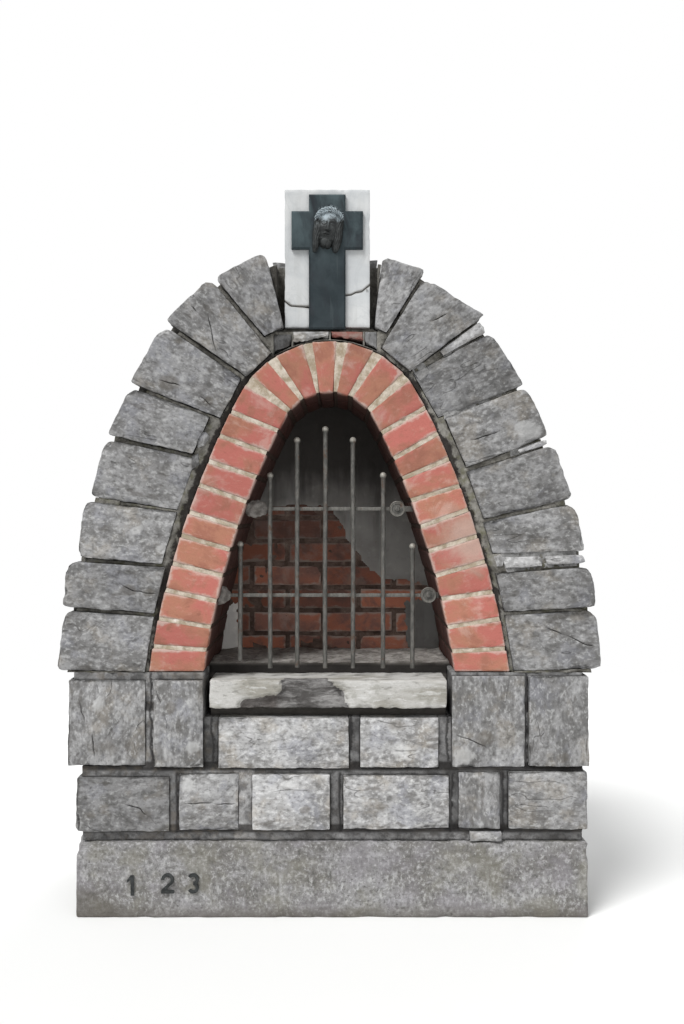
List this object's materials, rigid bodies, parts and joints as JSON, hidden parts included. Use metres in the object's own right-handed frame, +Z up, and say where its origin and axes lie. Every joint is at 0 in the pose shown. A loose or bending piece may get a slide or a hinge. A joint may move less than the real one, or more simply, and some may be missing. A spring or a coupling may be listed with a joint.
{
  "type": "wayside shrine",
  "caption": "Small wayside shrine: a rough stone arch over a brick arch and a grilled niche, on ashlar courses, with a marble slab and cross on top.",
  "frame": {"origin": "at ground level under the middle of the arch, halfway between the front and back faces", "axes": "+Z up, -Y out of the front face with the niche, +X to the right seen from the front"},
  "size_m": [1.5366, 0.658, 2.047],
  "materials": {
    "rough_stone": "rough split grey stone",
    "plinth_stone": "weathered grey cast course, pitted",
    "joint_mortar": "dark weathered lime mortar",
    "red_brick": "fired red brick with buff smeared joints",
    "niche_brick": "old dark brick with grey plaster remains",
    "sill_stone": "pale dressed stone with a broken front",
    "white_marble": "honed white marble, weathered and cracked",
    "dark_slate": "dark polished slate, dulled",
    "dark_bronze": "dark patinated cast bronze",
    "grey_iron": "dull grey painted wrought iron with rust"
  },
  "bodies": {
    "root": {"plinth": "plinth_stone", "plinth_numerals": "dark_bronze", "base_mortar": "joint_mortar", "lower_course_stone_1": "rough_stone", "lower_course_stone_2": "rough_stone", "lower_course_stone_3": "rough_stone", "lower_course_stone_4": "rough_stone", "lower_course_stone_5": "rough_stone", "lower_course_stone_6": "rough_stone", "left_outer_pier_stone": "rough_stone", "left_inner_pier_stone": "rough_stone", "under_sill_stones": "rough_stone", "right_inner_pier_stone": "rough_stone", "right_outer_pier_stone": "rough_stone", "sill": "sill_stone", "niche_floor": "joint_mortar", "brick_arch": "red_brick", "arch_mortar": "joint_mortar", "niche_back_wall": "niche_brick", "rear_wall_leaf": "rough_stone", "left_arch_stone_1": "rough_stone", "left_arch_stone_2": "rough_stone", "left_arch_stone_3": "rough_stone", "left_arch_stone_4": "rough_stone", "left_arch_stone_5": "rough_stone", "left_arch_stone_6": "rough_stone", "left_arch_stone_7": "rough_stone", "left_arch_stone_8": "rough_stone", "right_arch_stone_1": "rough_stone", "right_arch_stone_2": "rough_stone", "right_arch_stone_3": "rough_stone", "right_arch_stone_4": "rough_stone", "right_arch_stone_5": "rough_stone", "right_arch_stone_6": "rough_stone", "right_arch_stone_7": "rough_stone", "right_arch_stone_8": "rough_stone", "pinning_stones": "rough_stone", "crown_stones": "rough_stone", "slab_upper_piece": "white_marble", "slab_lower_piece": "white_marble", "cross": "dark_slate", "relief_head": "dark_bronze", "grille_bars": "grey_iron", "grille_rails": "grey_iron", "rail_fixings": "grey_iron"}
  },
  "joints": []
}
